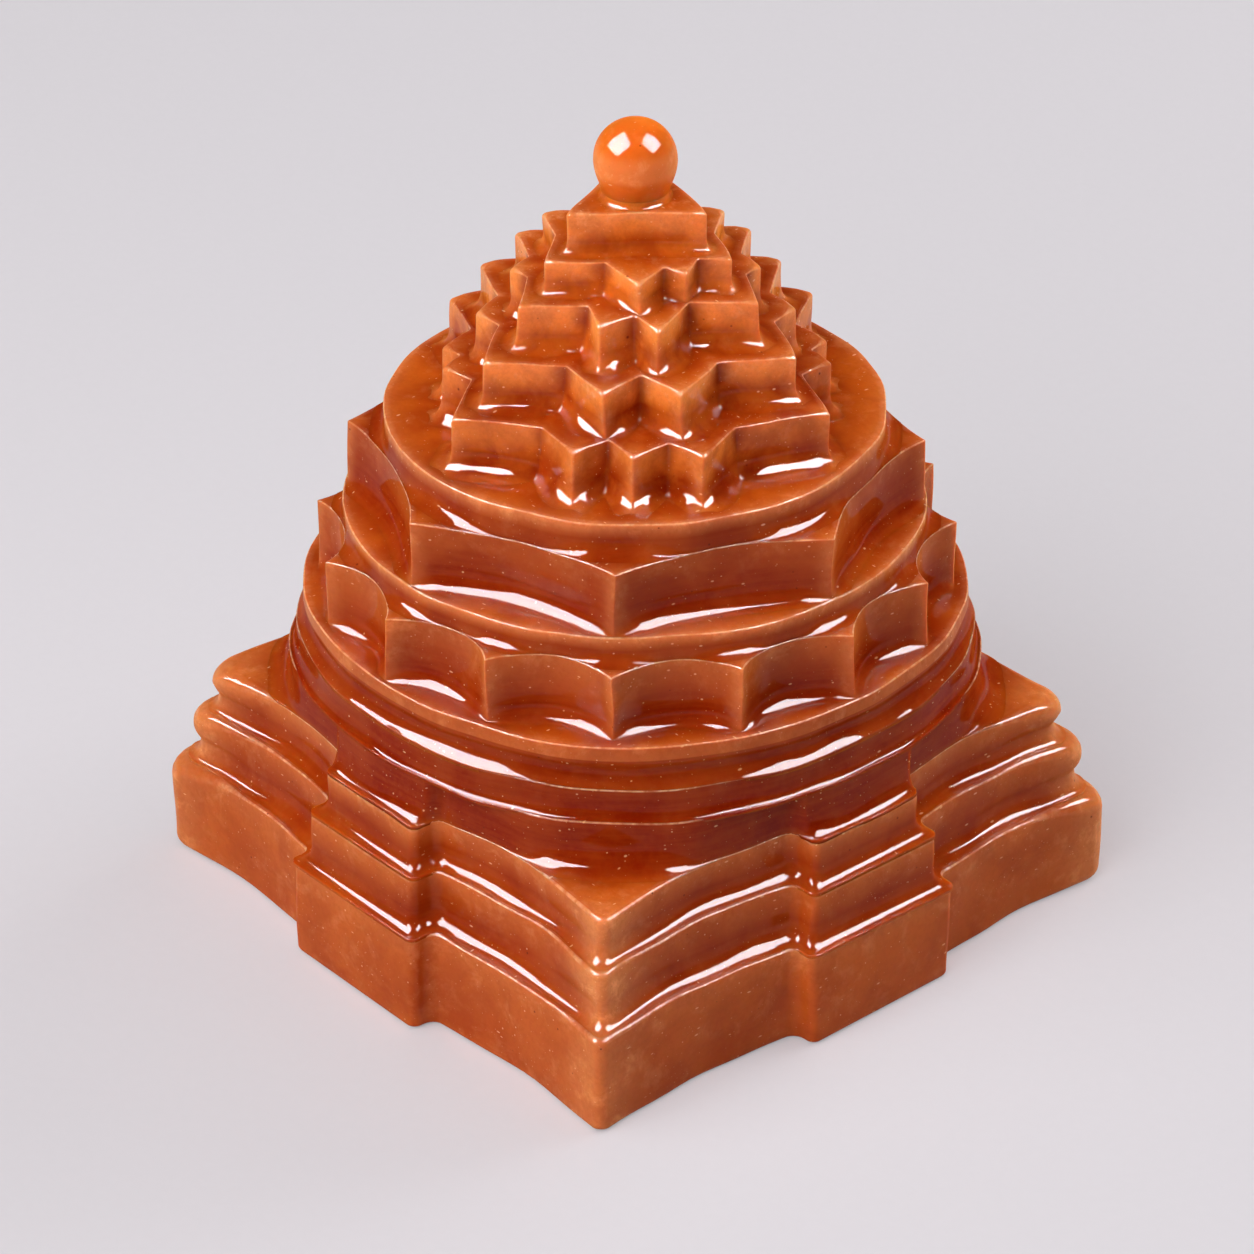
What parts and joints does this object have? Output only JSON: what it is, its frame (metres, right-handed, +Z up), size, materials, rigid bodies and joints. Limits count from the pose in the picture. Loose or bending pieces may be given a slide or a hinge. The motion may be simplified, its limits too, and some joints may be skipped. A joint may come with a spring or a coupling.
{
  "type": "shri yantra",
  "caption": "Raised shri yantra in polished orange stone: square gated steps, round girdles, lotus petal tiers and stepped triangle tiers rising to a bindu ball.",
  "frame": {"origin": "middle of the flat underside", "axes": "+Z up through the bindu ball; the four gates of the square base face along X and Y"},
  "size_m": [0.064, 0.064, 0.0719],
  "materials": {
    "stone": "polished, translucent orange-red with fine pale flecks",
    "thin_stone": "polished, translucent orange where the carving is thin",
    "ball_stone": "polished, bright translucent orange"
  },
  "bodies": {
    "root": {"lower_gate_step": "stone", "middle_gate_step": "stone", "upper_gate_step": "stone", "lower_girdle": "stone", "middle_girdle": "stone", "upper_girdle": "stone", "sixteen_petal_lotus": "stone", "petal_disc": "stone", "eight_petal_lotus": "stone", "summit_disc": "stone", "fourteen_point_tier": "thin_stone", "outer_ten_point_tier": "thin_stone", "inner_ten_point_tier": "thin_stone", "eight_point_tier": "thin_stone", "central_triangle": "thin_stone", "bindu_collar": "thin_stone", "bindu_ball": "ball_stone"}
  },
  "joints": []
}
